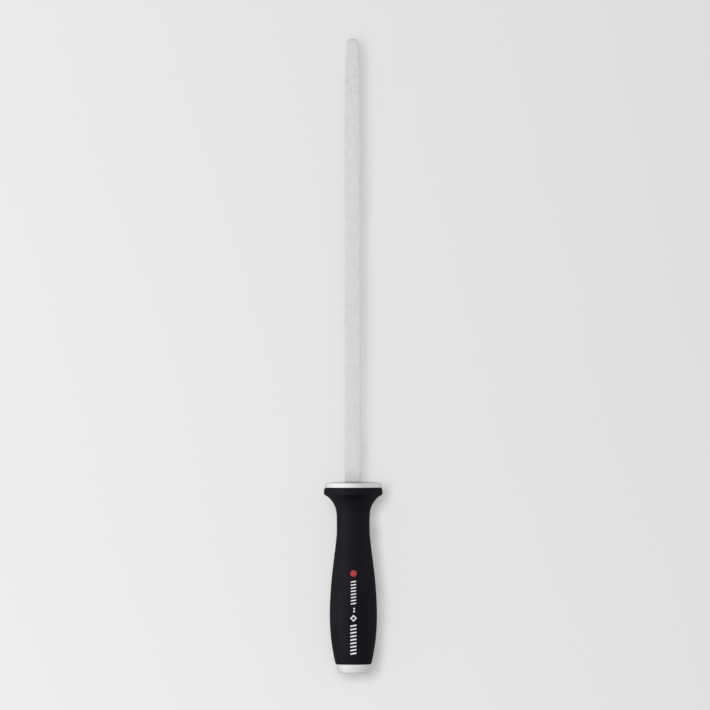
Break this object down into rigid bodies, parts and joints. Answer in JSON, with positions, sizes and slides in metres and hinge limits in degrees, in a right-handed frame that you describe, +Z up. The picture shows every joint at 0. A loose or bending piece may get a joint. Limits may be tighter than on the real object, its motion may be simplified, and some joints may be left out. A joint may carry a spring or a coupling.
{
  "type": "knife sharpening steel",
  "caption": "Round honing rod with a crowned steel guard disc, a waisted black moulded handle clamped on a through tang, and a steel end cap; dresses knife edges by hand.",
  "frame": {"origin": "centre of the seat where the working rod's shoulder meets the guard disc, on the rod's axis", "axes": "+Y along the rod's axis towards the tip, handle towards -Y; +Z up when the steel lies flat with its printed side up; +X to the right seen from above"},
  "size_m": [0.0404, 0.4362, 0.0404],
  "materials": {
    "rod_steel": "fine lengthwise cut, satin chrome",
    "disc_steel": "turned and polished",
    "gasket_rubber": "moulded, matt",
    "core_plastic": "moulded, matt",
    "grip_plastic": "fine matt moulded texture",
    "fastener_steel": "bright zinc",
    "spring_steel": "dark spring steel",
    "plug_plastic": "moulded, matt",
    "cap_steel": "satin stainless"
  },
  "bodies": {
    "root": {"sharpening_rod": "rod_steel", "guard_disc": "disc_steel", "guard_gasket": "gasket_rubber", "handle_core": "core_plastic", "handle_grip": "grip_plastic", "tang_washer": "fastener_steel", "spring_washer": "spring_steel", "tang_nut": "fastener_steel", "end_plug": "plug_plastic", "end_cap": "cap_steel"}
  },
  "joints": []
}
